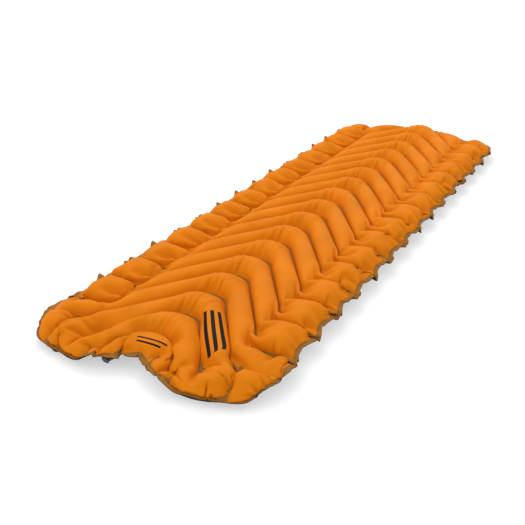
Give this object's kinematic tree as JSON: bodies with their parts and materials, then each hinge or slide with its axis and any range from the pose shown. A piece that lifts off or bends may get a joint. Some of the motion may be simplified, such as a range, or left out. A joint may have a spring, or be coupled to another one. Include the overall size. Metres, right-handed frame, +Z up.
{
  "type": "inflatable sleeping pad",
  "caption": "Inflated camping mattress: V-shaped body chambers between two rows of side pillows, twist-and-pull valve under one end.",
  "frame": {"origin": "on the floor, under the middle of the pad's outline", "axes": "+X across the width, +Y along the length towards the end the V tips point to, +Z up"},
  "size_m": [0.584, 1.8288, 0.064],
  "materials": {
    "top_fabric": "satin orange ripstop laminate",
    "bottom_fabric": "matt dark grey laminate",
    "batting": "white synthetic batting",
    "valve_body": "black moulded plastic",
    "valve_mouth": "dark grey moulded plastic",
    "valve_patch": "welded film ring",
    "seal": "soft rubber"
  },
  "bodies": {
    "pad": {"top_sheet": "top_fabric", "bottom_sheet": "bottom_fabric", "insulation_v_01": "batting", "insulation_v_02": "batting", "insulation_v_03": "batting", "insulation_v_04": "batting", "insulation_v_05": "batting", "insulation_v_06": "batting", "insulation_v_07": "batting", "insulation_v_08": "batting", "insulation_v_09": "batting", "insulation_v_10": "batting", "insulation_v_11": "batting", "insulation_v_12": "batting", "insulation_v_13": "batting", "insulation_v_14": "batting", "insulation_v_15": "batting", "insulation_v_16": "batting", "valve_base": "valve_body", "valve_patch": "valve_patch", "nozzle_o_ring": "seal", "plug_o_ring": "seal"},
    "valve_collar": {"valve_collar": "valve_body"},
    "valve_mouthpiece": {"valve_mouthpiece": "valve_mouth"}
  },
  "joints": [
    {"name": "valve_twist", "type": "hinge", "parent": "pad", "child": "valve_collar", "pos_m": [-0.07, -0.861, 0.014], "axis": [0, -0.9397, -0.342], "range_deg": [0, 90]},
    {"name": "valve_pull", "type": "slide", "parent": "valve_collar", "child": "valve_mouthpiece", "axis": [0, -0.9397, -0.342], "range_m": [0, 0.005]}
  ]
}
